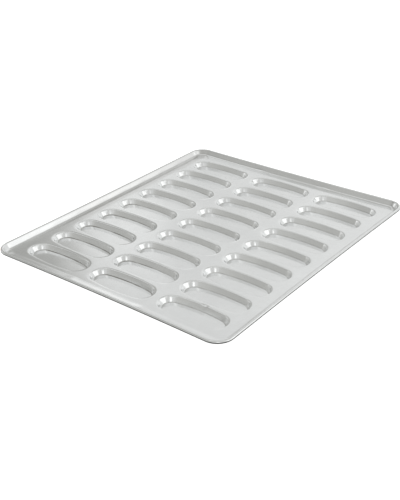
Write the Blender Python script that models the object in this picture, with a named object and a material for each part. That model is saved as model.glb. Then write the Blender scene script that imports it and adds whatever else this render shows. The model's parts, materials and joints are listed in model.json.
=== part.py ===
"""Roll and mini-baguette pan: one pressed steel sheet with 27 oval moulds, its rim rolled round a wire.

Metres, +Z up. X runs along the moulds and Y across the rows. The origin is under the middle mould,
on the plane that the mould floors stand on.
"""
import math

import bmesh
import bpy

# Whole pan
PAN_WIDTH = 0.560
PAN_LENGTH = 0.660
SHEET = 0.0008

# Moulds: a grid of four-centre ovals, sized where the deck starts to bend down into them
COLUMNS = 3
ROWS = 9
COLUMN_PITCH = 0.1665
ROW_PITCH = 0.0657
MOULD_LENGTH = 0.1504
MOULD_WIDTH = 0.0600
MOULD_END_RADIUS = 0.0264
MOULD_DEPTH = 0.0112
MOULD_DRAFT = math.radians(26)
LIP_RADIUS = 0.0030
FLOOR_RADIUS = 0.0018

# Rim: a foot fillet, a leaning wall and a curl round the wire
RIM_HEIGHT = 0.0117
RIM_LEAN = math.radians(32)
FOOT_RADIUS = 0.0090
CORNER_RADIUS = 0.0338
CURL_END = math.radians(-158)
WIRE_RADIUS = 0.0021
WIRE_CLEARANCE = 0.0003
WIRE_JOINT_GAP = 0.0010

# Pressing the moulds draws the rim in towards the middle of each side
LONG_SIDE_DRAW = 0.0020
SHORT_SIDE_DRAW = 0.0029

# Facets
MOULD_SIDE_STEPS = 3
MOULD_END_STEPS = 7
CORNER_STEPS = 6
RIM_SIDE_STEPS = 4
FOOT_STEPS = 3
CURL_STEPS = 12
SMOOTH_ANGLE = math.radians(35)

# Levels and sizes that follow
DECK_Z = SHEET + MOULD_DEPTH
CURL_RADIUS = WIRE_RADIUS + WIRE_CLEARANCE + SHEET


def arc(centre, radius, start, end, steps):
    """Points on an arc from start to end, both ends included."""
    points = []
    for step in range(steps + 1):
        angle = start + (end - start) * step / steps
        points.append((centre[0] + radius * math.cos(angle), centre[1] + radius * math.sin(angle)))
    return points


def mould_outline(inset):
    """A four-centre oval, anticlockwise, moved inwards by inset from the mould's edge in the deck."""
    half_length = MOULD_LENGTH / 2
    half_width = MOULD_WIDTH / 2
    end_centre = half_length - MOULD_END_RADIUS
    side_radius = end_centre**2 + half_width**2 - MOULD_END_RADIUS**2
    side_radius /= 2 * (half_width - MOULD_END_RADIUS)
    side_centre = side_radius - half_width
    side_angle = math.atan2(end_centre, side_centre)
    quarter = math.pi / 2
    points = []
    for turn in (0, math.pi):
        sign = math.cos(turn)
        end = arc((sign * end_centre, 0), MOULD_END_RADIUS - inset,
                  turn - quarter + side_angle, turn + quarter - side_angle, MOULD_END_STEPS)
        side = arc((0, -sign * side_centre), side_radius - inset,
                   turn + quarter - side_angle, turn + quarter + side_angle, MOULD_SIDE_STEPS)
        points += end[:-1] + side[:-1]
    return points


def mould_section():
    """(inset, drop) of the sheet's upper face, from the deck down to the flat floor."""
    across = math.cos(MOULD_DRAFT)
    down = 1 - math.sin(MOULD_DRAFT)
    wall_drop = MOULD_DEPTH - (LIP_RADIUS + FLOOR_RADIUS) * down
    wall_top = (LIP_RADIUS * across, LIP_RADIUS * down)
    wall_foot = (wall_top[0] + wall_drop * math.tan(MOULD_DRAFT), wall_top[1] + wall_drop)
    floor_edge = (wall_foot[0] + FLOOR_RADIUS * across, MOULD_DEPTH)
    return [(0, 0), wall_top, wall_foot, floor_edge]


def rim_section():
    """(outward, up) of the upper face from the rim's foot to the curl's lip, and the wire's centre."""
    foot = arc((0, FOOT_RADIUS), FOOT_RADIUS, -math.pi / 2, -RIM_LEAN, FOOT_STEPS)
    wire_up = RIM_HEIGHT - CURL_RADIUS
    wall_up = wire_up + CURL_RADIUS * math.sin(RIM_LEAN)
    wall_out = foot[-1][0] + (wall_up - foot[-1][1]) * math.tan(RIM_LEAN)
    wire = (wall_out + CURL_RADIUS * math.cos(RIM_LEAN), wire_up)
    curl = arc(wire, CURL_RADIUS, math.pi - RIM_LEAN, CURL_END, CURL_STEPS)
    return foot + curl, wire


RIM_POINTS, WIRE_CENTRE = rim_section()
RIM_RUN = WIRE_CENTRE[0] + CURL_RADIUS


def drawn_side(start, end, draw):
    """Points between two ends of a side, which draws in by draw at its middle. Neither end is included."""
    length = math.dist(start, end)
    inwards = ((start[1] - end[1]) / length, (end[0] - start[0]) / length)
    points = []
    for step in range(1, RIM_SIDE_STEPS):
        along = step / RIM_SIDE_STEPS
        shift = 4 * draw * along * (1 - along)
        points.append(tuple(a + (b - a) * along + shift * n for a, b, n in zip(start, end, inwards)))
    return points


def rim_outline(inset):
    """The pan's plan outline, anticlockwise, moved inwards by inset. Its four corners keep their centres."""
    across = PAN_WIDTH / 2 - CORNER_RADIUS
    along = PAN_LENGTH / 2 - CORNER_RADIUS
    corners = []
    for turn, (x_sign, y_sign) in enumerate(((1, 1), (-1, 1), (-1, -1), (1, -1))):
        start = turn * math.pi / 2
        corners.append(arc((x_sign * across, y_sign * along), CORNER_RADIUS - inset,
                           start, start + math.pi / 2, CORNER_STEPS))
    points = []
    for turn, corner in enumerate(corners):
        draw = LONG_SIDE_DRAW if turn % 2 else SHORT_SIDE_DRAW
        points += corner + drawn_side(corner[-1], corners[(turn + 1) % 4][0], draw)
    return points


def add_ring(mesh, outline, height, centre=(0, 0)):
    """A closed ring of vertices and edges at one height."""
    verts = [mesh.verts.new((centre[0] + x, centre[1] + y, height)) for x, y in outline]
    edges = [mesh.edges.new((vert, verts[index - 1])) for index, vert in enumerate(verts)]
    return verts, edges


def bridge(mesh, outer, inner):
    """Quads between two rings with the same number of vertices, facing up when outer encloses inner."""
    for index in range(len(outer)):
        mesh.faces.new((outer[index - 1], outer[index], inner[index], inner[index - 1]))


def add_mould(mesh, centre):
    """One mould's wall and floor. Returns the edges where it meets the deck."""
    rings = [add_ring(mesh, mould_outline(inset), DECK_Z - drop, centre) for inset, drop in mould_section()]
    for (outer, _), (inner, _) in zip(rings, rings[1:]):
        bridge(mesh, outer, inner)
    mesh.faces.new(rings[-1][0])
    return rings[0][1]


def add_rim(mesh):
    """The rim's rings from its foot to the curl's lip. Returns the edges where it meets the deck."""
    rings = [add_ring(mesh, rim_outline(RIM_RUN - out), DECK_Z + up) for out, up in RIM_POINTS]
    for (inner, _), (outer, _) in zip(rings, rings[1:]):
        bridge(mesh, outer, inner)
    return rings[0][1]


def mould_centres():
    """Centres of the moulds in plan."""
    for column in range(COLUMNS):
        for row in range(ROWS):
            yield ((column - (COLUMNS - 1) / 2) * COLUMN_PITCH, (row - (ROWS - 1) / 2) * ROW_PITCH)


def metal(name, colour, roughness):
    """A metal material."""
    material = bpy.data.materials.new(name)
    material.use_nodes = True
    shader = material.node_tree.nodes["Principled BSDF"]
    shader.inputs["Base Color"].default_value = (*colour, 1)
    shader.inputs["Roughness"].default_value = roughness
    shader.inputs["Metallic"].default_value = 1
    return material


def place(name, data, material):
    """An object of this name in the scene."""
    data.materials.append(material)
    part = bpy.data.objects.new(name, data)
    bpy.context.scene.collection.objects.link(part)
    return part


def make_pan_sheet():
    """The pressed sheet: deck, moulds, rim wall and curl, with one thickness all over."""
    mesh = bmesh.new()
    deck_edges = add_rim(mesh)
    for centre in mould_centres():
        deck_edges += add_mould(mesh, centre)
    bmesh.ops.triangle_fill(mesh, edges=deck_edges, use_beauty=True, normal=(0, 0, 1))
    data = bpy.data.meshes.new("pan_sheet")
    mesh.to_mesh(data)
    mesh.free()
    data.shade_smooth()
    data.set_sharp_from_angle(angle=SMOOTH_ANGLE)
    sheet = place("pan_sheet", data, metal("aluminised_steel", (0.66, 0.67, 0.67), 0.32))
    thickness = sheet.modifiers.new("sheet thickness", "SOLIDIFY")
    thickness.thickness = SHEET
    thickness.offset = -1
    thickness.use_even_offset = True
    return sheet


def make_rim_wire():
    """The round wire inside the curl: one length, bent to the rim's outline, its ends butted at the back."""
    outline = rim_outline(CURL_RADIUS)
    middle = CORNER_STEPS + RIM_SIDE_STEPS // 2
    joint_y = outline[middle][1]
    path = [(-WIRE_JOINT_GAP / 2, joint_y)] + outline[middle + 1:] + outline[:middle]
    path.append((WIRE_JOINT_GAP / 2, joint_y))
    curve = bpy.data.curves.new("rim_wire", "CURVE")
    curve.dimensions = "3D"
    curve.bevel_depth = WIRE_RADIUS
    curve.bevel_resolution = 2
    curve.use_fill_caps = True
    spline = curve.splines.new("POLY")
    spline.points.add(len(path) - 1)
    for point, (x, y) in zip(spline.points, path):
        point.co = (x, y, DECK_Z + WIRE_CENTRE[1], 1)
    return place("rim_wire", curve, metal("galvanised_wire", (0.55, 0.56, 0.57), 0.40))


def main():
    for old in list(bpy.data.objects):
        bpy.data.objects.remove(old, do_unlink=True)
    make_pan_sheet()
    make_rim_wire()


main()
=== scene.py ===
"""Looks for the roll pan: a finely meshed pressed sheet with true bends, the wire in its curl, their steel
materials, and a pale studio. Metres, in the CAD frame: X along the moulds, Y across the rows, Z up.
"""
import json
import math
from collections import namedtuple

import bmesh
import bpy
import numpy as np
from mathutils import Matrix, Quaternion, Vector


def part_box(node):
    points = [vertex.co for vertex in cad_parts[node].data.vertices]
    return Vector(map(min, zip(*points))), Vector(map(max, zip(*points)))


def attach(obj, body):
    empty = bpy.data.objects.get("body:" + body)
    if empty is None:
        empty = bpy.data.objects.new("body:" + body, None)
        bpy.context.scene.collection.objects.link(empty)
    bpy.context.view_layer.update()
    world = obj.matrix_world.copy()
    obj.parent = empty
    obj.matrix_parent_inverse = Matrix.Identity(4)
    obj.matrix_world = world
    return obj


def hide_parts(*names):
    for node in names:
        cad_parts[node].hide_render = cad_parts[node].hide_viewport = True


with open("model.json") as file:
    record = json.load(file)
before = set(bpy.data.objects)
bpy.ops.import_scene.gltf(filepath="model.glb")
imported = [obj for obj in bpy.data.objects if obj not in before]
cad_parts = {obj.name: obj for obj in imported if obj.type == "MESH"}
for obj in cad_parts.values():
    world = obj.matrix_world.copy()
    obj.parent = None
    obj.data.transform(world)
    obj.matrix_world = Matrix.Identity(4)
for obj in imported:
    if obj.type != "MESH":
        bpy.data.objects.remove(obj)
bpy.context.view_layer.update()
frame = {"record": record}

# ---------------------------------------------------------------- sizes that the CAD part has
PAN_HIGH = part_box("pan_sheet")[1]
HALF_WIDTH = PAN_HIGH.x
HALF_LENGTH = PAN_HIGH.y
RIM_TOP = PAN_HIGH.z
SHEET = 0.0008
MOULD_LENGTH = 0.1504
MOULD_WIDTH = 0.0600
MOULD_END_RADIUS = 0.0264
MOULD_DEPTH = 0.0112
MOULD_DRAFT = math.radians(26)
LIP_RADIUS = 0.0030
FLOOR_RADIUS = 0.0018
RIM_LEAN = math.radians(32)
CORNER_RADIUS = 0.0338
CURL_END = math.radians(-158)
WIRE_RADIUS = 0.0021
WIRE_CLEARANCE = 0.0003
WIRE_JOINT_GAP = 0.0010
# How far the middle of each side is drawn inwards.
LONG_SIDE_DRAW = 0.0020
SHORT_SIDE_DRAW = 0.0029
DECK_Z = SHEET + MOULD_DEPTH
CURL_RADIUS = WIRE_RADIUS + WIRE_CLEARANCE + SHEET
WIRE_UP = RIM_TOP - DECK_Z - CURL_RADIUS

# ---------------------------------------------------------------- what pressing does to the sheet
# The deck rolls off by ROLL_TURN before a mould's lip. Before the rim's foot it rises by PLAIN_RISE_TURN, or
# by FRONT_RISE_TURN on the front side.
ROLL_RADIUS = 0.0196
ROLL_TURN = math.radians(10)
RISE_RADIUS = 0.030
PLAIN_RISE_TURN = math.radians(1)
PLAIN_RISE_RUN = 0.0030
PLAIN_FOOT_RADIUS = 0.0060
FRONT_RISE_TURN = math.radians(9)
FRONT_RISE_RUN = 0.0080
FRONT_FOOT_RADIUS = 0.0110
# The width of the margin over which the front side's shape and the right side's painted shade in the foot
# come in.
MARGIN_BLEND = 0.030
# How far the rim's foot stands inwards between moulds, on the short and the long sides.
FOOT_SWELL_SHORT = 0.0022
FOOT_SWELL_LONG = 0.0009
SWELL_REACH = 0.013
SWELL_HEIGHT = 0.0065
FLOOR_CROWN = 0.00012
DECK_WAVE = 0.00010
EDGE_FADE = 0.020
# Share, seed and wavelength of each set of ripples in the deck's wave.
DECK_RIPPLES = ((0.6, 4, 0.110), (0.4, 9, 0.045))
RIPPLE_COUNT = 7
RIPPLE_SPREAD = (0.7, 1.6)
# One dent, at the far lip of the front right mould.
DENT = (0.1714, -0.2343)
DENT_REACH = 0.0030
DENT_DEPTH = 0.0016

# ---------------------------------------------------------------- mesh resolution
SIDE_STEPS = 20
END_STEPS = 20
# The point of a mould's end arc, counted from either tangent, that faces a corner of the mould's cell.
CORNER_INDEX = 5
ROLL_STEPS = 4
LIP_STEPS = 6
WALL_SHARES = (0.5, 0.9, 1.0)
DECK_BANDS = (1.0, 0.65, 0.3)
FLOOR_BANDS = (0.86, 0.62, 0.32)
# A narrow flat ring next to the floor bend, which keeps the floor's shading flat.
FLAT_GUARD = 0.0004
CORNER_STEPS = 14
MARGIN_BANDS = 4
RISE_STEPS = 5
FOOT_STEPS = 8
RIM_WALL_STEPS = 3
CURL_STEPS = 26
WIRE_SIDES = 20
# Distances within which a point counts as on its cell's edge, and vertices are welded.
ON_EDGE = 1e-6
WELD = 2e-5

# ---------------------------------------------------------------- wear, and painted shade in the creases and under the curl, by place on the sheet
ROLL_WEAR = 0.3
LIP_WEAR = 1.0
# The curl's steps that rub against other pans, and the step from which its underside is painted dark as
# shade.
CURL_RUBBED = range(2, 13)
CURL_SHADE_START = 13
CURL_UNDERSIDE_SHADE = 1.3
# Painted shade down a mould's wall, round its floor bend, and up the rim's foot from where the rise ends.
WALL_SHADE = (0.0, 0.0, 0.7)
FLOOR_BEND_SHADE = (1.0, 1.0, 1.0, 1.0, 0.8, 0.4, 0.0)
FOOT_SHADE = (0.0,) * (RISE_STEPS + 1) + (0.10, 0.18, 0.20, 0.18, 0.10)
# The width across a mould's middle over which its painted shade comes in, and how much more the right foot
# has.
SHADE_FADE = 0.030
RIGHT_FOOT_SHADE = 4.5


def mould_grid():
    """Column and row centres of the moulds, from the record's openings."""
    openings = frame["record"]["physics"]["openings"]
    boxes = [opening["box_m"] for opening in openings if opening["name"].startswith("mould_")]
    columns = sorted({round((low[0] + high[0]) / 2, 5) for low, high in boxes})
    rows = sorted({round((low[1] + high[1]) / 2, 5) for low, high in boxes})
    return columns, rows


COLUMNS, ROWS = mould_grid()
COLUMN_PITCH = COLUMNS[1] - COLUMNS[0]
ROW_PITCH = ROWS[1] - ROWS[0]
GRID_X = COLUMNS[-1] + COLUMN_PITCH / 2
GRID_Y = ROWS[-1] + ROW_PITCH / 2
COLUMN_GAPS = [column + COLUMN_PITCH / 2 for column in COLUMNS[:-1]]
ROW_GAPS = [row + ROW_PITCH / 2 for row in ROWS[:-1]]


# ---------------------------------------------------------------- curves
def arc(centre, radius, start, end, steps):
    """Points on an arc from start to end, both ends included, as an array."""
    angles = np.linspace(start, end, steps + 1)
    return np.stack([centre[0] + radius * np.cos(angles), centre[1] + radius * np.sin(angles)], -1)


def bend(start, radius, begin, end, steps):
    """Points of a bend in a section, without its first point. Its slope goes from angle begin to end."""
    angles = np.linspace(begin, end, steps + 1)
    side = 1 if end > begin else -1
    return [(start[0] + side * radius * (math.sin(angle) - math.sin(begin)),
             start[1] + side * radius * (math.cos(begin) - math.cos(angle))) for angle in angles[1:]]


class Sheet:
    """Collects vertices, faces, and how worn the sheet is and how much shade is painted on it at each
    vertex.
    """

    def __init__(self):
        self.points = []
        self.faces = []
        self.wear = []
        self.shade_weight = []

    def ring(self, outline, height, wear=0.0, shade_weight=0.0):
        """Adds a closed ring and returns its vertex numbers. Height and painted shade may vary along it."""
        start = len(self.points)
        heights = np.broadcast_to(height, len(outline))
        self.points += [(x, y, z) for (x, y), z in zip(outline, heights)]
        self.wear += [wear] * len(outline)
        self.shade_weight += np.broadcast_to(shade_weight, len(outline)).tolist()
        return list(range(start, start + len(outline)))

    def bridge(self, outer, inner):
        """Quads between two rings of the same length, closed round."""
        for index in range(len(outer)):
            self.faces.append((outer[index - 1], outer[index], inner[index], inner[index - 1]))

    def fan(self, ring, centre):
        """Triangles from a ring to a point in its middle."""
        tip = len(self.points)
        self.points.append(centre)
        self.wear.append(0.0)
        self.shade_weight.append(0.0)
        for index in range(len(ring)):
            self.faces.append((ring[index - 1], ring[index], tip))


# ---------------------------------------------------------------- one mould
def mould_outline(inset):
    """A four-centre oval, anticlockwise from the right end's lower tangent, moved inwards by inset."""
    half_length = MOULD_LENGTH / 2
    half_width = MOULD_WIDTH / 2
    end_centre = half_length - MOULD_END_RADIUS
    excess = half_width - MOULD_END_RADIUS
    side_radius = (end_centre**2 + half_width**2 - MOULD_END_RADIUS**2) / (2 * excess)
    side_centre = side_radius - half_width
    side_angle = math.atan2(end_centre, side_centre)
    quarter = math.pi / 2
    parts = []
    for turn in (0, math.pi):
        sign = math.cos(turn)
        parts.append(arc((sign * end_centre, 0), MOULD_END_RADIUS - inset,
                         turn - quarter + side_angle, turn + quarter - side_angle, END_STEPS)[:-1])
        parts.append(arc((0, -sign * side_centre), side_radius - inset,
                         turn + quarter - side_angle, turn + quarter + side_angle, SIDE_STEPS)[:-1])
    return np.concatenate(parts)


def cell_outline():
    """Points on a mould's cell rectangle, one for each point of mould_outline and in the same order."""
    half_x = COLUMN_PITCH / 2
    half_y = ROW_PITCH / 2
    right_y = np.linspace(-half_y, half_y, END_STEPS - 2 * CORNER_INDEX + 1)[:-1]
    top_x = np.linspace(half_x, -half_x, SIDE_STEPS + 2 * CORNER_INDEX + 1)[:-1]
    right_edge = np.stack([np.full(len(right_y), half_x), right_y], -1)
    top_edge = np.stack([top_x, np.full(len(top_x), half_y)], -1)
    half = np.concatenate([right_edge, top_edge])
    return np.roll(np.concatenate([half, -half]), CORNER_INDEX, axis=0)


def mould_section():
    """(inset, drop, wear, painted shade) from the deck down to the mould's floor: roll-off, lip, wall, floor
    bend.
    The roll-off starts so far out that the wall lies where a lip without a roll-off would put it."""
    turn = math.pi / 2 - MOULD_DRAFT
    lip_run = ROLL_RADIUS * math.sin(ROLL_TURN) + LIP_RADIUS * (math.sin(turn) - math.sin(ROLL_TURN))
    lip_drop = ROLL_RADIUS * (1 - math.cos(ROLL_TURN)) + LIP_RADIUS * (math.cos(ROLL_TURN) - math.cos(turn))
    plain_run = LIP_RADIUS * math.sin(turn)
    plain_drop = LIP_RADIUS * (1 - math.cos(turn))
    start = (plain_run + (lip_drop - plain_drop) * math.tan(MOULD_DRAFT) - lip_run, 0.0)
    roll = [start] + bend(start, ROLL_RADIUS, 0, ROLL_TURN, ROLL_STEPS)
    lip = bend(roll[-1], LIP_RADIUS, ROLL_TURN, turn, LIP_STEPS)
    top_inset, top_drop = lip[-1]
    foot_drop = MOULD_DEPTH - FLOOR_RADIUS * (1 - math.cos(turn))
    foot_inset = top_inset + (foot_drop - top_drop) * math.tan(MOULD_DRAFT)
    wall = [(top_inset + (foot_inset - top_inset) * share, top_drop + (foot_drop - top_drop) * share)
            for share in WALL_SHARES]
    floor = bend(wall[-1], FLOOR_RADIUS, turn, 0, LIP_STEPS)
    floor.append((floor[-1][0] + FLAT_GUARD, MOULD_DEPTH))
    section = [(inset, drop, ROLL_WEAR, 0.0) for inset, drop in roll]
    section += [(inset, drop, LIP_WEAR, 0.0) for inset, drop in lip]
    for (inset, drop), shade_weight in zip(wall + floor, WALL_SHADE + FLOOR_BEND_SHADE):
        section.append((inset, drop, 0.0, shade_weight))
    return section


def add_mould(sheet, centre):
    """One cell of the deck with its mould. Shade is painted into the creases along the mould's far side."""
    offset = np.array(centre)
    cell = cell_outline()
    section = mould_section()
    edge = mould_outline(section[0][0])
    rings = []
    for share in DECK_BANDS:
        rings.append(sheet.ring(offset + edge + (cell - edge) * share, DECK_Z))
    # Shade is painted into the creases, on the mould's far side only.
    shaded_side = np.clip(0.5 + mould_outline(0)[:, 1] / SHADE_FADE, 0, 1)
    for inset, drop, wear, shade_weight in section:
        rings.append(sheet.ring(offset + mould_outline(inset), DECK_Z - drop, wear, shade_weight * shaded_side))
    floor = mould_outline(section[-1][0])
    for share in FLOOR_BANDS:
        rings.append(sheet.ring(offset + floor * share, SHEET))
    for outer, inner in zip(rings, rings[1:]):
        sheet.bridge(outer, inner)
    sheet.fan(rings[-1], (centre[0], centre[1], SHEET))


# ---------------------------------------------------------------- the rim
def rim_section(rise_turn, rise_run, foot_radius):
    """(outward, up) from the deck to the curl's cut edge, outward measured from the curl's outermost point.
    The deck first rises by rise_turn over rise_run, then turns up at the foot."""
    rise = [(0.0, 0.0)] + bend((0.0, 0.0), RISE_RADIUS, 0, rise_turn, RISE_STEPS)
    slope_end = (rise[-1][0] + rise_run * math.cos(rise_turn), rise[-1][1] + rise_run * math.sin(rise_turn))
    foot = rise + [slope_end] + bend(slope_end, foot_radius, rise_turn, math.pi / 2 - RIM_LEAN, FOOT_STEPS)
    foot = np.array(foot)
    wall_up = WIRE_UP + CURL_RADIUS * math.sin(RIM_LEAN)
    wall_out = foot[-1][0] + (wall_up - foot[-1][1]) * math.tan(RIM_LEAN)
    wall_shares = np.linspace(0, 1, RIM_WALL_STEPS + 1)[1:-1, None]
    wall = foot[-1] + (np.array([wall_out, wall_up]) - foot[-1]) * wall_shares
    wire_out = wall_out + CURL_RADIUS * math.cos(RIM_LEAN)
    curl = arc((wire_out, WIRE_UP), CURL_RADIUS, math.pi - RIM_LEAN, CURL_END, CURL_STEPS)
    points = np.concatenate([foot, wall, curl])
    points[:, 0] -= wire_out + CURL_RADIUS
    return points


PLAIN_RIM = rim_section(PLAIN_RISE_TURN, PLAIN_RISE_RUN, PLAIN_FOOT_RADIUS)
FRONT_RIM = rim_section(FRONT_RISE_TURN, FRONT_RISE_RUN, FRONT_FOOT_RADIUS)


def side_stations():
    """Fractions from -1 to 1 along each side where the deck's cells have vertices: short side, long side."""
    cell = cell_outline()
    on_top = sorted({round(float(x), 7) for x, y in cell if abs(y - ROW_PITCH / 2) < ON_EDGE})
    on_right = sorted({round(float(y), 7) for x, y in cell if abs(x - COLUMN_PITCH / 2) < ON_EDGE})
    short = sorted({round(column + x, 5) for column in COLUMNS for x in on_top})
    long = sorted({round(row + y, 5) for row in ROWS for y in on_right})
    return np.array(short) / GRID_X, np.array(long) / GRID_Y


SHORT_STATIONS, LONG_STATIONS = side_stations()

# One side of the pan: its vertices, how far it and the deck grid's side reach to each end and stand off from
# the middle, how far it draws inwards, and the gaps between moulds where its foot swells and by how much.
Side = namedtuple("Side", "stations reach distance grid_reach grid_distance draw gaps swelling")
SHORT_SIDE = Side(SHORT_STATIONS, HALF_WIDTH - CORNER_RADIUS, HALF_LENGTH - CORNER_RADIUS, GRID_X, GRID_Y,
                  SHORT_SIDE_DRAW, COLUMN_GAPS, FOOT_SWELL_SHORT)
LONG_SIDE = Side(LONG_STATIONS, HALF_LENGTH - CORNER_RADIUS, HALF_WIDTH - CORNER_RADIUS, GRID_Y, GRID_X,
                 LONG_SIDE_DRAW, ROW_GAPS, FOOT_SWELL_LONG)
SIDES = (SHORT_SIDE, LONG_SIDE, SHORT_SIDE, LONG_SIDE)


def quarter_turns(points, count):
    """Points of the back side and its corner, turned about the middle to the side that is count sides on."""
    cosine, sine = math.cos(count * math.pi / 2), math.sin(count * math.pi / 2)
    return points @ np.array([[cosine, sine], [-sine, cosine]])


def swell(side):
    """How far a side's foot stands inwards: most where a gap between moulds meets it."""
    distance = np.abs(side.stations[:, None] * side.reach - np.array(side.gaps)[None, :])
    return side.swelling * np.exp(-(distance / SWELL_REACH)**2).max(axis=1)


def rim_outline(inset, foot=0.0):
    """The pan's plan outline moved inwards by inset, with a point for each vertex on the deck grid's edge.
    foot says how much of the foot's swelling between moulds it takes."""
    radius = CORNER_RADIUS - inset
    parts = []
    for count, side in enumerate(SIDES):
        shift = side.draw * (1 - side.stations**2) + foot * swell(side)
        straight = np.stack([side.reach * -side.stations, side.distance + radius - shift], -1)
        corner = arc((-side.reach, side.distance), radius, math.pi / 2, math.pi, CORNER_STEPS)[1:-1]
        parts.append(quarter_turns(np.concatenate([straight, corner]), count))
    return np.concatenate(parts)


def grid_outline():
    """The deck grid's edge, with its corner repeated once for each corner step of the rim."""
    parts = []
    for count, side in enumerate(SIDES):
        straight = np.stack([side.grid_reach * -side.stations,
                             np.full(len(side.stations), side.grid_distance)], -1)
        corner = np.tile([-side.grid_reach, side.grid_distance], (CORNER_STEPS - 1, 1))
        parts.append(quarter_turns(np.concatenate([straight, corner]), count))
    return np.concatenate(parts)


def rim_rings(front):
    """(outline, heights) of each step of the rim's section. front is 1 where the front's section holds."""
    rings = []
    for (plain_out, plain_up), (front_out, front_up) in zip(PLAIN_RIM, FRONT_RIM):
        foot = max(0.0, 1 - plain_up / SWELL_HEIGHT)**2
        plain = rim_outline(-plain_out, foot)
        outline = plain + (rim_outline(-front_out, foot) - plain) * front
        heights = DECK_Z + plain_up + (front_up - plain_up) * front
        rings.append((outline, heights.ravel()))
    return rings


def add_rim(sheet):
    """The deck's margin, the rim wall and the curl. The front margin rises further than the others."""
    plan = rim_outline(0)
    front = np.clip((-plan[:, 1] - HALF_LENGTH) / MARGIN_BLEND + 1, 0, 1)[:, None]
    front = front * front * (3 - 2 * front)
    right = np.clip((plan[:, 0] - HALF_WIDTH) / MARGIN_BLEND + 1, 0, 1)
    section_rings = rim_rings(front)
    grid = grid_outline()
    foot = section_rings[0][0]
    rings = []
    for share in np.linspace(0, 1, MARGIN_BANDS + 1)[:-1]:
        rings.append(sheet.ring(grid + (foot - grid) * share, DECK_Z))
    curl_start = len(PLAIN_RIM) - CURL_STEPS - 1
    for step, (outline, heights) in enumerate(section_rings):
        curl_step = step - curl_start
        wear = 1.0 if curl_step in CURL_RUBBED else 0.0
        # The rim's foot takes painted shade, more on the right side.
        shade_weight = 0.0
        if step < len(FOOT_SHADE):
            shade_weight = FOOT_SHADE[step] * (1 + RIGHT_FOOT_SHADE * right)
        # Shade is painted dark under the curl.
        if curl_step >= CURL_SHADE_START:
            shade_weight = CURL_UNDERSIDE_SHADE
        rings.append(sheet.ring(outline, heights, wear, shade_weight))
    for inner, outer in zip(rings, rings[1:]):
        sheet.bridge(outer, inner)


# ---------------------------------------------------------------- crowns, waves and the dent
def ripple(points, seed, wavelength):
    """A smooth height from 0 to 1 at each point, made of waves in scattered directions."""
    random = np.random.default_rng(seed)
    total = np.zeros(len(points))
    for _ in range(RIPPLE_COUNT):
        angle = random.uniform(0, math.tau)
        number = math.tau / (wavelength * random.uniform(*RIPPLE_SPREAD))
        phase = random.uniform(0, math.tau)
        total += np.sin(number * (points[:, 0] * math.cos(angle) + points[:, 1] * math.sin(angle)) + phase)
    return 0.5 + 0.5 * total / RIPPLE_COUNT


def from_nearest(values, centres):
    """Each value, measured from the centre that is nearest to it."""
    centres = np.array(centres)
    return values - centres[np.abs(values[:, None] - centres).argmin(axis=1)]


def away_from_edge(values, half):
    """0 at the pan's rim, rising to 1 further in."""
    return np.clip((half - np.abs(values)) / EDGE_FADE - 1, 0, 1)


def press(points):
    """Lifts the flat areas by the small crowns and waves that pressing leaves, and adds the dent."""
    x, y = points[:, 0], points[:, 1]
    along_mould = from_nearest(x, COLUMNS) / (MOULD_LENGTH / 2)
    across_mould = from_nearest(y, ROWS) / (MOULD_WIDTH / 2)
    crown = FLOOR_CROWN * np.clip(1 - (along_mould**2 + across_mould**2), 0, 1)**2
    inside = away_from_edge(x, HALF_WIDTH) * away_from_edge(y, HALF_LENGTH)
    waves = sum(share * ripple(points, seed, wavelength) for share, seed, wavelength in DECK_RIPPLES)
    dent = DENT_DEPTH * np.exp(-(np.hypot(x - DENT[0], y - DENT[1]) / DENT_REACH)**2)
    points[:, 2] += crown + DECK_WAVE * inside * waves
    points[:, 2] -= dent
    return points


# ---------------------------------------------------------------- objects
def place(name, data, material, replaced):
    """An object that rides on the pan's body and stands for a CAD node."""
    data.materials.append(material)
    piece = bpy.data.objects.new(name, data)
    bpy.context.scene.collection.objects.link(piece)
    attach(piece, "root")
    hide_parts(replaced)
    return piece


def make_sheet(material):
    """The pan's upper face as one welded mesh, thickened downwards by the sheet."""
    sheet = Sheet()
    for x in COLUMNS:
        for y in ROWS:
            add_mould(sheet, (x, y))
    add_rim(sheet)
    data = bpy.data.meshes.new("pressed_sheet")
    data.from_pydata(press(np.array(sheet.points)).tolist(), [], sheet.faces)
    # wear is real wear; the other attribute says how much shade is painted in the creases and under the
    # curl.
    for name, values in (("wear", sheet.wear), ("shade_weight", sheet.shade_weight)):
        attribute = data.attributes.new(name, "FLOAT", "POINT")
        attribute.data.foreach_set("value", np.array(values, np.float32))
    mesh = bmesh.new()
    mesh.from_mesh(data)
    bmesh.ops.remove_doubles(mesh, verts=mesh.verts, dist=WELD)
    mesh.to_mesh(data)
    mesh.free()
    data.shade_smooth()
    piece = place("pressed_sheet", data, material, "pan_sheet")
    thickness = piece.modifiers.new("sheet thickness", "SOLIDIFY")
    thickness.thickness = SHEET
    thickness.offset = -1
    thickness.use_even_offset = True


def wire_path():
    """The wire's middle line once round the pan, from one side of its butt joint to the other."""
    outline = rim_outline(CURL_RADIUS)
    middle = len(SHORT_STATIONS) // 2
    joint_y = outline[middle][1]
    path = [(-WIRE_JOINT_GAP / 2, joint_y)] + outline[middle + 1:].tolist() + outline[:middle].tolist()
    path.append((WIRE_JOINT_GAP / 2, joint_y))
    return np.array(path)


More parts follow.
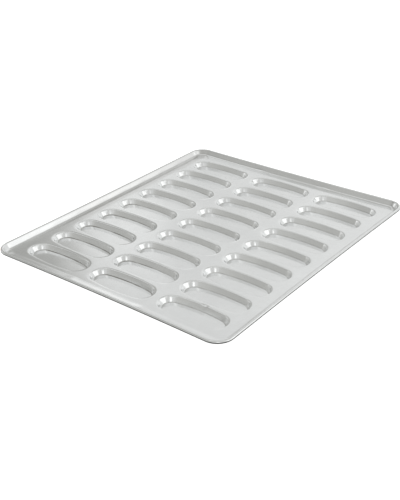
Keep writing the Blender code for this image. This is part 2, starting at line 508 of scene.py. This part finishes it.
def make_wire(material):
    """The wire in the curl: one round length bent to the rim, with flat cut ends."""
    path = wire_path()
    along = np.gradient(path, axis=0)
    along /= np.linalg.norm(along, axis=1)[:, None]
    out = np.stack([along[:, 1], -along[:, 0]], -1)
    mesh = bmesh.new()
    rings = []
    for (x, y), (out_x, out_y) in zip(path, out):
        ring = []
        for side in range(WIRE_SIDES):
            angle = math.tau * side / WIRE_SIDES
            reach = WIRE_RADIUS * math.cos(angle)
            height = DECK_Z + WIRE_UP + WIRE_RADIUS * math.sin(angle)
            ring.append(mesh.verts.new((x + out_x * reach, y + out_y * reach, height)))
        rings.append(ring)
    for first, second in zip(rings, rings[1:]):
        for side in range(WIRE_SIDES):
            mesh.faces.new((first[side - 1], first[side], second[side], second[side - 1]))
    mesh.faces.new(rings[0])
    mesh.faces.new(rings[-1])
    bmesh.ops.recalc_face_normals(mesh, faces=mesh.faces)
    data = bpy.data.meshes.new("bent_wire")
    mesh.to_mesh(data)
    mesh.free()
    data.shade_smooth()
    data.set_sharp_from_angle(angle=math.radians(50))
    place("bent_wire", data, material, "rim_wire")


# ---------------------------------------------------------------- node trees
class Graph:
    """Short calls for building a node tree. A value may be a number, a colour or another node's socket."""

    def __init__(self, owner):
        owner.use_nodes = True
        self.nodes = owner.node_tree.nodes
        self.links = owner.node_tree.links

    def feed(self, socket, value):
        """Links a socket to value, or sets it."""
        if isinstance(value, bpy.types.NodeSocket):
            self.links.new(value, socket)
        else:
            socket.default_value = value

    def node(self, kind, inputs=(), **settings):
        """A new node with its inputs fed, by name or number."""
        made = self.nodes.new("ShaderNode" + kind)
        for name, value in settings.items():
            setattr(made, name, value)
        for name, value in dict(inputs).items():
            self.feed(made.inputs[name], value)
        return made

    def maths(self, operation, *values):
        """One step of arithmetic."""
        return self.node("Math", dict(enumerate(values)), operation=operation).outputs[0]

    def ramp(self, value, low, high, to_low=0.0, to_high=1.0):
        """An eased step from to_low, where value is low, to to_high, where it is high."""
        inputs = {"Value": value, "From Min": low, "From Max": high, "To Min": to_low, "To Max": to_high}
        return self.node("MapRange", inputs, interpolation_type="SMOOTHSTEP").outputs[0]

    def mix(self, factor, first, second):
        """The colour first where factor is 0, and second where it is 1."""
        return self.node("Mix", {0: factor, 6: first, 7: second}, data_type="RGBA").outputs[2]

    def noise(self, vector, scale, detail=2.0, roughness=0.5):
        """Cloudy noise, about 0.2 to 0.8."""
        inputs = {"Vector": vector, "Scale": scale, "Detail": detail, "Roughness": roughness}
        return self.node("TexNoise", inputs).outputs["Fac"]

    def stretch(self, vector, scale, turn=0.0, shift=(0, 0, 0)):
        """The vector scaled on each axis, turned about Z and shifted."""
        inputs = {"Vector": vector, "Location": shift, "Rotation": (0, 0, turn), "Scale": scale}
        return self.node("Mapping", inputs).outputs[0]

    def scratches(self, vector, turn, shift, threshold):
        """Fine broken lines in one direction, 0 to 1, where patchy noise is above the threshold."""
        lines = self.noise(self.stretch(vector, (14, 900, 14), turn, shift), 1.0, 1.0)
        patches = self.noise(self.stretch(vector, (1, 1, 1), 0, shift), 16.0, 2.0)
        patches = self.ramp(patches, threshold, threshold + 0.08)
        return self.maths("MULTIPLY", self.ramp(lines, 0.74, 0.80), patches)

    def shade(self, colour, roughness, normal):
        """Feeds the material's shader, as bare metal, and returns the shader."""
        shader = self.nodes["Principled BSDF"]
        self.feed(shader.inputs["Base Color"], colour)
        self.feed(shader.inputs["Roughness"], roughness)
        self.feed(shader.inputs["Normal"], normal)
        shader.inputs["Metallic"].default_value = 1.0
        return shader


# ---------------------------------------------------------------- the sheet's material
STEEL_DULL = (0.845, 0.850, 0.852, 1)
STEEL_BRIGHT = (0.900, 0.905, 0.905, 1)
# Colour of each mark on the steel, and how strongly it covers what lies under it.
MOTTLE_COLOUR, MOTTLE_COVER = (0.830, 0.832, 0.826, 1), 0.35
GRAIN_COLOUR, GRAIN_COVER = (0.800, 0.805, 0.810, 1), 0.18
COATINGS = (
    ("scuffs", (0.74, 0.74, 0.73, 1), 0.30),
    ("rubbed", (0.92, 0.94, 0.93, 1), 0.25),
    # A painted darker reflection on the left margin.
    ("painted_dark_reflection", (0.62, 0.61, 0.60, 1), 0.45),
    # Painted shade in the creases.
    ("painted_crease_shade", (0.26, 0.25, 0.23, 1), 0.88),
)
# How much each mark adds to the roughness.
ROUGHENING = (("mottle", 0.040), ("grain", 0.016), ("scuffs", 0.100), ("rubbed", 0.050), ("painted_crease_shade", 0.060))
# Heights of the glaze's unevenness, and of the grain and scuffs in it.
GLAZE_SWELL = 0.00005
FINE_RELIEF = 0.0000035


def steel_marks(graph, point):
    """Patterns on the steel by name: rolled grain, cloudy glaze, scuffs, rubbed edges, a painted darker
    reflection on the left margin and painted shade in the creases.
    """
    marks = {
        "clouds": graph.noise(point, 11.0, 3.0),
        "mottle": graph.noise(point, 75.0, 3.0, 0.6),
        "grain": graph.noise(graph.stretch(point, (1500, 45, 300)), 1.0, 3.0, 0.6),
        "speckle": graph.noise(point, 620.0, 2.0),
        "scuffs": graph.maths("MAXIMUM", graph.scratches(point, 0.45, (0.1, 0.3, 0), 0.52),
                              graph.scratches(point, -1.15, (0.7, 0.2, 0), 0.55)),
    }
    edge = graph.node("Attribute", attribute_name="wear").outputs["Fac"]
    marks["rubbed"] = graph.maths("MULTIPLY", edge, graph.ramp(graph.noise(point, 140.0, 3.0), 0.42, 0.66))
    across, along, _ = graph.node("SeparateXYZ", {0: point}).outputs
    # A painted darker reflection on the left margin.
    marks["painted_dark_reflection"] = left_margin_dark_reflection(graph, across, along, marks["clouds"])
    patches = graph.ramp(graph.noise(point, 34.0, 3.0), 0.32, 0.62, 0.45, 1.0)
    # Painted shade in the creases.
    marks["painted_crease_shade"] = painted_shade_in_creases(graph, across, along, patches)
    return marks


def left_margin_dark_reflection(graph, across, along, clouds):
    """A painted darker reflection on the left margin, with a cloudy edge, that fades towards the front."""
    cloudy = graph.maths("MULTIPLY_ADD", clouds, 0.012, across)
    return graph.maths("MULTIPLY", graph.ramp(cloudy, -0.2330, -0.2450), graph.ramp(along, -0.20, -0.08))


def painted_shade_in_creases(graph, across, along, patches):
    """Patchy painted shade in the creases, heaviest towards the front left corner."""
    shade_weight = graph.node("Attribute", attribute_name="shade_weight").outputs["Fac"]
    nearness = graph.ramp(graph.maths("ADD", across, along), -0.24, -0.13, 1.0, 0.40)
    return graph.maths("MULTIPLY", graph.maths("MULTIPLY", shade_weight, nearness), patches)


def steel_colour(graph, marks):
    """Steel, clouded by the glaze, with each mark laid over it, painted shade and a painted darker
    reflection among them.
    """
    colour = graph.mix(graph.ramp(marks["clouds"], 0.30, 0.70), STEEL_DULL, STEEL_BRIGHT)
    colour = graph.mix(graph.ramp(marks["mottle"], 0.35, 0.70, 0.0, MOTTLE_COVER), colour, MOTTLE_COLOUR)
    colour = graph.mix(graph.ramp(marks["grain"], 0.35, 0.75, 0.0, GRAIN_COVER), colour, GRAIN_COLOUR)
    for name, coating, cover in COATINGS:
        colour = graph.mix(graph.maths("MULTIPLY", marks[name], cover), colour, coating)
    return colour


def steel_roughness(graph, marks):
    """Smooth under the glaze, rougher at each mark."""
    roughness = graph.ramp(marks["clouds"], 0.30, 0.70, 0.120, 0.150)
    for name, amount in ROUGHENING:
        roughness = graph.maths("MULTIPLY_ADD", marks[name], amount, roughness)
    return roughness


def steel_relief(graph, point, marks):
    """The glaze's soft unevenness, with grain, speckle and scuffs as fine relief on it."""
    swells = graph.noise(point, 42.0, 1.0)
    bump = graph.node("Bump", {"Strength": 1.0, "Distance": GLAZE_SWELL, "Height": swells}).outputs[0]
    fine = graph.maths("MULTIPLY_ADD", marks["scuffs"], -0.8, marks["grain"])
    fine = graph.maths("MULTIPLY_ADD", marks["speckle"], 0.5, fine)
    inputs = {"Strength": 0.6, "Distance": FINE_RELIEF, "Height": fine, "Normal": bump}
    return graph.node("Bump", inputs).outputs[0]


def glazed_steel():
    """Aluminised sheet under a thin clear glaze."""
    material = bpy.data.materials.new("glazed_steel")
    graph = Graph(material)
    point = graph.node("TexCoord").outputs["Object"]
    marks = steel_marks(graph, point)
    shader = graph.shade(steel_colour(graph, marks), steel_roughness(graph, marks),
                         steel_relief(graph, point, marks))
    shader.inputs["Coat Weight"].default_value = 0.25
    shader.inputs["Coat Roughness"].default_value = 0.12
    shader.inputs["Coat IOR"].default_value = 1.43
    return material


# ---------------------------------------------------------------- the wire's material
ZINC_DARK = (0.56, 0.57, 0.59, 1)
ZINC_LIGHT = (0.70, 0.71, 0.73, 1)
ZINC_CLOUD = (0.50, 0.50, 0.50, 1)
WIRE_RELIEF = 0.00001


def zinc_wire():
    """Drawn steel wire with a dull zinc coat: cloudy spangle, draw lines and small pits."""
    material = bpy.data.materials.new("zinc_wire")
    graph = Graph(material)
    point = graph.node("TexCoord").outputs["Object"]
    spangle = graph.node("TexVoronoi", {"Vector": point, "Scale": 520.0}).outputs["Color"]
    spangle = graph.node("RGBToBW", {0: spangle}).outputs[0]
    clouds = graph.noise(point, 60.0, 3.0)
    lines = graph.noise(graph.stretch(point, (40, 40, 2600)), 1.0, 2.0)
    pits = graph.ramp(graph.noise(point, 900.0, 1.0), 0.66, 0.74)
    colour = graph.mix(spangle, ZINC_DARK, ZINC_LIGHT)
    colour = graph.mix(graph.ramp(clouds, 0.4, 0.7, 0.0, 0.5), colour, ZINC_CLOUD)
    roughness = graph.maths("MULTIPLY_ADD", clouds, 0.22, graph.maths("MULTIPLY_ADD", spangle, 0.08, 0.26))
    height = graph.maths("MULTIPLY_ADD", pits, -1.0, lines)
    bump = graph.node("Bump", {"Strength": 0.6, "Distance": WIRE_RELIEF, "Height": height})
    graph.shade(colour, roughness, bump.outputs[0])
    return material


# ---------------------------------------------------------------- floor and camera
STUDIO_FLOOR_RADIUS = 8
STUDIO_FLOOR_SIDES = 96
STUDIO_FLOOR_Z = -0.0002
WHITE = (1, 1, 1, 1)


def make_floor():
    """A plain white floor just under the pan. It glows evenly, and the steel doesn't reflect it."""
    bpy.ops.mesh.primitive_circle_add(vertices=STUDIO_FLOOR_SIDES, radius=STUDIO_FLOOR_RADIUS,
                                      fill_type="NGON", location=(0, 0, STUDIO_FLOOR_Z))
    floor = bpy.context.object
    floor.name = "studio_floor"
    material = bpy.data.materials.new("floor_white")
    material.use_nodes = True
    shader = material.node_tree.nodes["Principled BSDF"]
    shader.inputs["Base Color"].default_value = (0.60, 0.60, 0.60, 1)
    shader.inputs["Roughness"].default_value = 0.9
    shader.inputs["Emission Color"].default_value = WHITE
    shader.inputs["Emission Strength"].default_value = 1.0
    floor.data.materials.append(material)
    floor.visible_glossy = False


def make_camera():
    """The photograph's view: azimuth from the front towards the right, and elevation, in radians."""
    azimuth = 0.6719
    elevation = 0.4975
    roll = -0.0187
    distance = 1.6890
    target = Vector((0.0389, -0.0779, DECK_Z))
    back = Vector((math.sin(azimuth) * math.cos(elevation), -math.cos(azimuth) * math.cos(elevation),
                   math.sin(elevation)))
    data = bpy.data.cameras.new("camera")
    data.sensor_width = 36
    data.lens = 61.75
    data.clip_end = 50
    camera = bpy.data.objects.new("camera", data)
    bpy.context.scene.collection.objects.link(camera)
    camera.location = target + back * distance
    look = (-back).to_track_quat("-Z", "Y")
    camera.rotation_mode = "QUATERNION"
    camera.rotation_quaternion = look @ Quaternion((0, 0, 1), roll)
    bpy.context.scene.camera = camera


# ---------------------------------------------------------------- studio light
# Soft panels round the pan: name, azimuth from the back towards the right, half width and soft edge, then
# elevation, half height and soft edge, all in degrees, and the light it adds. A dark card takes light away.
STUDIO = (
    ("backdrop", -28, 20.2, 1.3, 30, 14, 4, 0.27),
    ("backdrop_left", -44.2, 3.0, 1.0, 26.5, 3, 1.5, 0.19),
    ("backdrop_right", -20, 13, 6, 26, 14, 6, 0.09),
    ("left_card", -55, 6, 3, 25, 15, 4, -0.08),
    ("low_left_card", -48, 3.6, 1.0, 17, 6, 1.5, -0.19),
    ("window_edge", -40, 2.6, 1.4, 11, 8, 3, 0.52),
    ("low_back", -24, 13, 3, 8, 9, 5, 0.25),
    ("back_fill", 18, 30, 12, 20, 20, 6, 0.34),
    ("key", 67, 24, 9, 10, 14, 4, 0.72),
    ("key_left", 48, 9, 5, 31, 9, 4, 0.42),
    ("key_top", 80, 26, 6, 33, 6, 3, 0.50),
    ("right_wall", 108, 30, 6, 20, 22, 6, 0.17),
    ("strip", 141, 8, 5, 12, 13, 3, 0.74),
    ("front_fill", 158, 26, 14, 20, 18, 8, 0.22),
    ("front_left_fill", -180, 24, 12, 20, 18, 8, 0.11),
    ("front_card", -122, 11, 4, 38, 11, 4, -0.17),
    ("floor_glow", -142, 20, 8, -3, 7, 4, 0.17),
    ("far_end", -111, 14, 5, 17, 5, 2.5, 0.66),
    ("far_end_right", -94, 10, 5, 10, 6, 3, 0.26),
    ("upper_back", -28, 18, 8, 47, 7, 4, 0.10),
    ("upper_left", -84, 28, 5, 53, 6, 3, 0.36),
    ("upper_front", -128, 34, 8, 67, 9, 4, 0.25),
    ("upper_right", 60, 50, 10, 50, 12, 5, 0.20),
    ("ceiling", 0, 181, 1, 82, 16, 6, 0.32),
)
AMBIENT = 0.475
# Below the horizon all light falls to this share, between these two elevations.
BELOW_SHARE = 0.14
BELOW_FADE = (-34, -10)
SHADE_TINT = (1.0, 1.005, 0.970, 1)
LIGHT_TINT = (0.99, 1.0, 0.992, 1)
TINT_LEVELS = (0.5, 0.75)


def band(graph, value, middle, half, soft):
    """1 where value is within half of the middle, with an eased edge that reaches soft to either side."""
    low, high = middle - half, middle + half
    rise = graph.ramp(value, low - soft, low + soft)
    fall = graph.ramp(value, high + soft, high - soft)
    return graph.maths("MULTIPLY", rise, fall)


def make_world():
    """The studio as a world that only reflections and light see. The camera sees plain white."""
    world = bpy.data.worlds.new("studio")
    bpy.context.scene.world = world
    graph = Graph(world)
    axes = graph.node("SeparateXYZ", {0: graph.node("TexCoord").outputs["Generated"]}).outputs
    azimuth = graph.maths("MULTIPLY", graph.maths("ARCTAN2", axes[0], axes[1]), 180 / math.pi)
    elevation = graph.maths("MULTIPLY", graph.maths("ARCSINE", axes[2]), 180 / math.pi)
    total = AMBIENT
    for name, around, half_width, side_edge, up, half_height, top_edge, light in STUDIO:
        panel = graph.maths("MULTIPLY", light, band(graph, azimuth, around, half_width, side_edge))
        panel = graph.maths("MULTIPLY", panel, band(graph, elevation, up, half_height, top_edge))
        panel.node.label = name
        total = graph.maths("ADD", total, panel)
    total = graph.maths("MULTIPLY", total, graph.ramp(elevation, *BELOW_FADE, BELOW_SHARE, 1.0))
    camera_ray = graph.node("LightPath").outputs["Is Camera Ray"]
    hidden = graph.maths("MULTIPLY", total, graph.maths("SUBTRACT", 1.0, camera_ray))
    background = graph.nodes["Background"]
    graph.feed(background.inputs["Strength"], graph.maths("ADD", hidden, camera_ray))
    tint = graph.mix(graph.ramp(total, *TINT_LEVELS), SHADE_TINT, LIGHT_TINT)
    graph.feed(background.inputs["Color"], graph.mix(camera_ray, tint, WHITE))


bpy.context.scene.view_settings.view_transform = "Standard"
make_sheet(glazed_steel())
make_wire(zinc_wire())
make_floor()
make_camera()
make_world()
